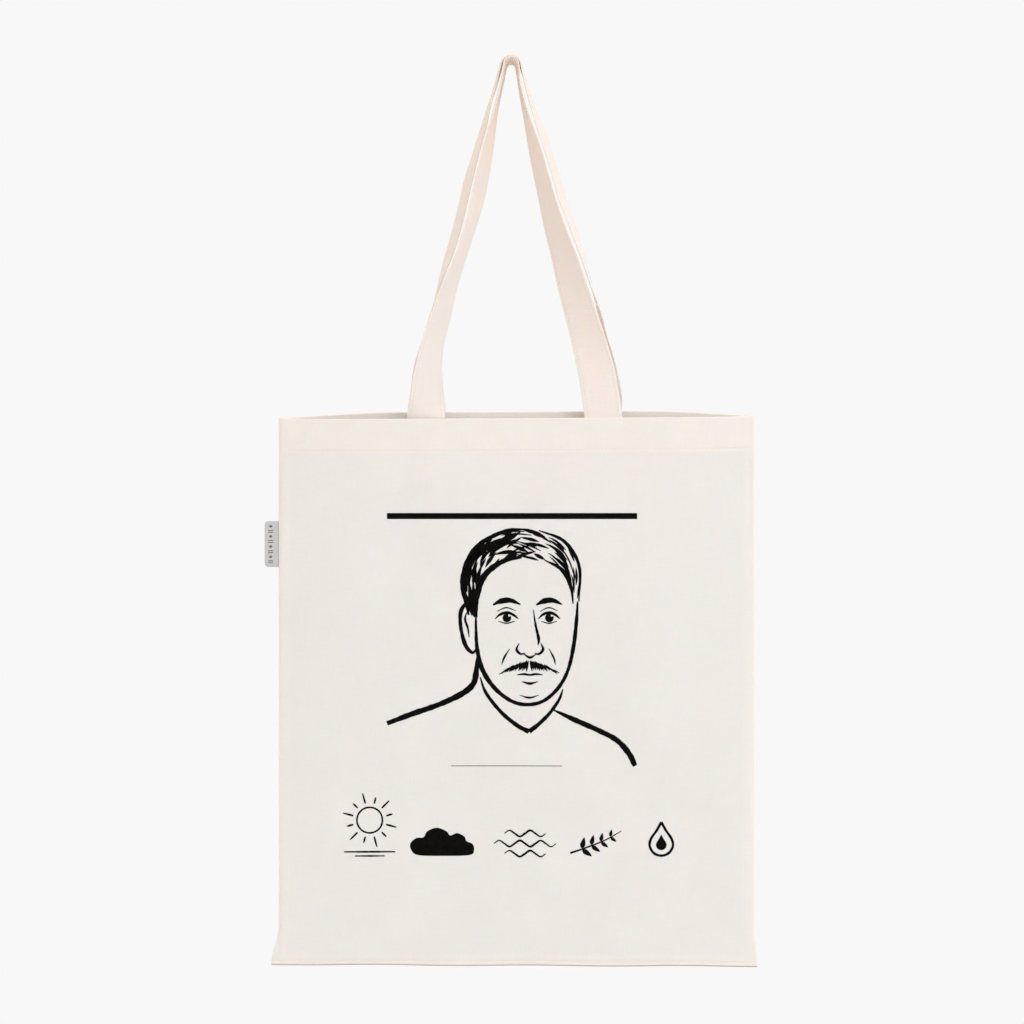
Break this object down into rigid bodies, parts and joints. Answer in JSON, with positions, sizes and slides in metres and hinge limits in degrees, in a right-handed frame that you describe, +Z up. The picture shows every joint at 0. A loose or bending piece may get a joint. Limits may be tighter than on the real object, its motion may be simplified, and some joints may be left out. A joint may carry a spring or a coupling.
{
  "type": "cotton tote bag",
  "caption": "Flat natural cotton tote bag hanging from two long sewn straps, with a hemmed mouth, a side label and a plain one-colour print.",
  "frame": {"origin": "where a hook or peg carries the straps: the underside of the front strap at the top of its loop, midway across its width", "axes": "+Z up, -Y out of the printed front, +X to the right as seen from the front"},
  "size_m": [0.365, 0.037, 0.6752],
  "materials": {
    "cotton_cloth": "matt plain-weave natural cotton",
    "cotton_strap": "matt plain-weave natural cotton, folded and edge-stitched",
    "cotton_thread": "matt spun thread",
    "woven_label": "satin-woven folded label"
  },
  "bodies": {
    "seams": {"bottom_seam": "cotton_cloth", "bottom_seam_thread": "cotton_thread", "left_seam": "cotton_cloth", "left_seam_thread": "cotton_thread", "right_seam": "cotton_cloth", "right_seam_thread": "cotton_thread"},
    "front_panel": {"front_hem": "cotton_cloth", "front_hem_thread": "cotton_thread", "front_left_strap_end": "cotton_strap", "front_left_strap_end_thread": "cotton_thread", "front_panel": "cotton_cloth", "front_right_strap_end": "cotton_strap", "front_right_strap_end_thread": "cotton_thread"},
    "back_panel": {"back_hem": "cotton_cloth", "back_hem_thread": "cotton_thread", "back_left_strap_end": "cotton_strap", "back_left_strap_end_thread": "cotton_thread", "back_panel": "cotton_cloth", "back_right_strap_end": "cotton_strap", "back_right_strap_end_thread": "cotton_thread"},
    "front_handle": {"front_handle": "cotton_strap", "front_handle_inner_thread": "cotton_thread", "front_handle_outer_thread": "cotton_thread"},
    "back_handle": {"back_handle": "cotton_strap", "back_handle_inner_thread": "cotton_thread", "back_handle_outer_thread": "cotton_thread"},
    "label": {"side_label": "woven_label"}
  },
  "joints": [
    {"name": "mouth_front", "type": "hinge", "parent": "seams", "child": "front_panel", "pos_m": [0.004, -0.0013, -0.67], "axis": [1, 0, 0], "range_deg": [0, 6]},
    {"name": "mouth_back", "type": "hinge", "parent": "seams", "child": "back_panel", "pos_m": [0.004, 0.0013, -0.67], "axis": [1, 0, 0], "range_deg": [-6, 0]},
    {"name": "front_handle_fold", "type": "hinge", "parent": "front_panel", "child": "front_handle", "pos_m": [0, -0.0103, -0.264], "axis": [1, 0, 0], "range_deg": [0, 160]},
    {"name": "back_handle_fold", "type": "hinge", "parent": "back_panel", "child": "back_handle", "pos_m": [0, 0.0103, -0.2585], "axis": [1, 0, 0], "range_deg": [-160, 0]},
    {"name": "label_swing", "type": "hinge", "parent": "seams", "child": "label", "pos_m": [-0.17351, 0, -0.358], "axis": [0, 0, 1], "range_deg": [-75, 75], "stiffness_Nm_per_rad": 0.0002}
  ],
  "couplings": [
    {"joint": "mouth_back", "follows": "mouth_front", "ratio": -1}
  ]
}
